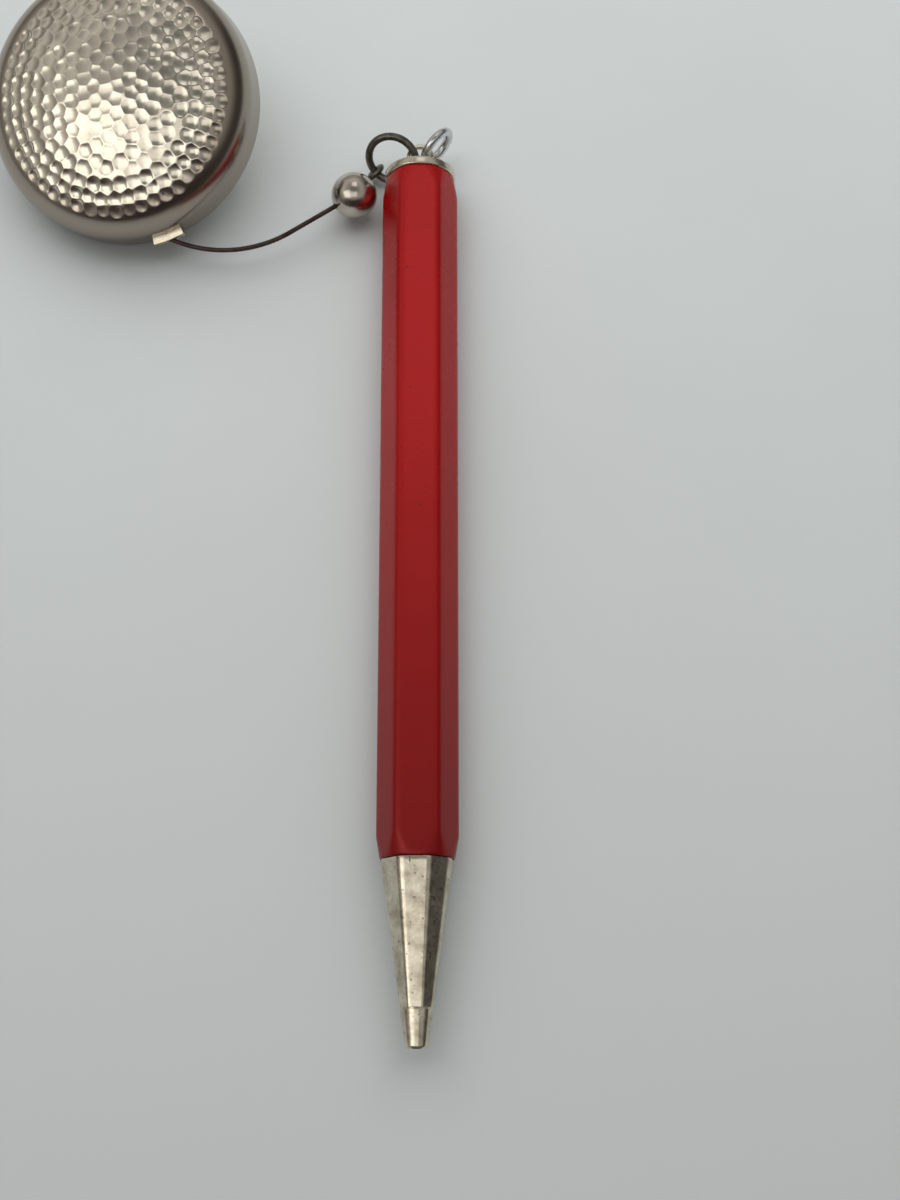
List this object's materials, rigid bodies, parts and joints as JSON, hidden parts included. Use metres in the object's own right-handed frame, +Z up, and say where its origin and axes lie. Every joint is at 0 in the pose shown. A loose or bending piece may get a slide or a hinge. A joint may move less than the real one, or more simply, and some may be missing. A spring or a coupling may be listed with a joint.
{
  "type": "retractable ballpoint pen",
  "caption": "Slim hexagonal twist-action ballpoint pen hung by rings from a ball and thin cable that winds into a round hammered spring reel with a brooch pin.",
  "frame": {"origin": "centre of the barrel's lower flat, where the pen lies on a table (z = 0)", "axes": "+Y along the pen from its point to its rings, +Z up from the table, +X across the pen, away from the reel"},
  "size_m": [0.0487, 0.1092, 0.0154],
  "materials": {
    "red_lacquer": "satin red lacquer on the hexagonal barrel, slightly worn on its corners",
    "nickel": "warm nickel plate, slightly tarnished",
    "hammered_nickel": "warm nickel plate, hammered all over the dome, plain on the side",
    "steel": "bright steel wire and small stampings",
    "dark_steel": "darkened steel wire",
    "spring_steel": "blue-grey spring steel",
    "brass": "plain turned brass",
    "cable": "fine dark brown coated steel cable",
    "tungsten": "polished hard metal ball"
  },
  "bodies": {
    "reel_case": {"case_cover": "hammered_nickel", "back_plate": "nickel", "arbor": "steel", "arbor_clip": "spring_steel", "cable_guide": "nickel", "power_spring": "spring_steel", "cable_run": "cable", "pin_bracket": "steel", "pin_rivet": "steel", "catch_housing": "steel"},
    "drum": {"cable_drum": "steel", "drum_lid": "steel", "cable_winding": "cable"},
    "brooch_stem": {"pin_stem": "steel"},
    "catch": {"catch_roller": "steel"},
    "cable": {"cable": "cable"},
    "cable_end": {"ferrule": "steel"},
    "ball": {"ball": "nickel", "eye_loop": "dark_steel"},
    "link_ring": {"link_ring": "dark_steel"},
    "pen_barrel": {"barrel": "red_lacquer", "cap_disc": "nickel", "cap_lug": "nickel", "spiral_sleeve": "brass", "retaining_ring": "spring_steel", "refill_guide": "brass"},
    "bail_ring": {"bail_ring": "steel"},
    "nose": {"nose_cone": "nickel", "guide_tube": "brass", "return_spring": "spring_steel"},
    "refill": {"refill_tube": "brass", "refill_tip": "brass", "carrier": "steel", "drive_pin": "steel"},
    "writing_ball": {"tip_ball": "tungsten"}
  },
  "joints": [
    {"name": "cable_swing", "type": "hinge", "parent": "reel_case", "child": "cable", "pos_m": [-0.02544, 0.02906, 0.0029], "axis": [0, 0, 1], "range_deg": [-30, 30]},
    {"name": "cable_payout", "type": "slide", "parent": "cable", "child": "cable_end", "axis": [0.9622, 0.2722, 0], "range_m": [0, 0.3], "deforming": ["cable"]},
    {"name": "drum_spin", "type": "hinge", "parent": "reel_case", "child": "drum", "pos_m": [-0.03098, 0.04213, 0.00843], "axis": [-0.1809, -0.3173, 0.9309], "range_deg": [0, 1800], "deforming": ["power_spring"]},
    {"name": "pin_open", "type": "hinge", "parent": "reel_case", "child": "brooch_stem", "pos_m": [-0.03788, 0.04922, 0.00144], "axis": [0.4611, 0.8087, 0.3653], "range_deg": [0, 60]},
    {"name": "catch_turn", "type": "hinge", "parent": "reel_case", "child": "catch", "pos_m": [-0.02181, 0.04005, 0.00144], "axis": [0.8687, -0.4954, 0], "range_deg": [0, 90]},
    {"name": "ball_swivel", "type": "hinge", "parent": "cable_end", "child": "ball", "pos_m": [-0.00692, 0.0343, 0.0029], "axis": [0.8387, 0.5446, 0], "range_deg": [-90, 90]},
    {"name": "link_turn", "type": "hinge", "parent": "ball", "child": "link_ring", "pos_m": [-0.0048, 0.03805, 0.00118], "axis": [0.6518, -0.5273, -0.5451], "range_deg": [-25, 5]},
    {"name": "pen_turn", "type": "hinge", "parent": "link_ring", "child": "pen_barrel", "pos_m": [-0.00045, 0.0384, 0.0035], "axis": [0, 0, 1], "range_deg": [-4, 12]},
    {"name": "bail_turn", "type": "hinge", "parent": "pen_barrel", "child": "bail_ring", "pos_m": [0.00045, 0.0384, 0.0035], "axis": [0, 0, 1], "range_deg": [-60, 45]},
    {"name": "nose_twist", "type": "hinge", "parent": "pen_barrel", "child": "nose", "pos_m": [0, -0.0356, 0.0035], "axis": [0, -1, 0], "range_deg": [0, 180]},
    {"name": "refill_slide", "type": "slide", "parent": "nose", "child": "refill", "axis": [0, -1, 0], "range_m": [0, 0.0032], "deforming": ["return_spring"]},
    {"name": "point_roll", "type": "hinge", "parent": "refill", "child": "writing_ball", "pos_m": [0, -0.05205, 0.0035], "axis": [1, 0, 0], "continuous": true}
  ],
  "couplings": [
    {"joint": "drum_spin", "follows": "cable_payout", "rad_per_m": 104.72},
    {"joint": "nose_twist", "follows": "refill_slide", "rad_per_m": 981.75}
  ]
}
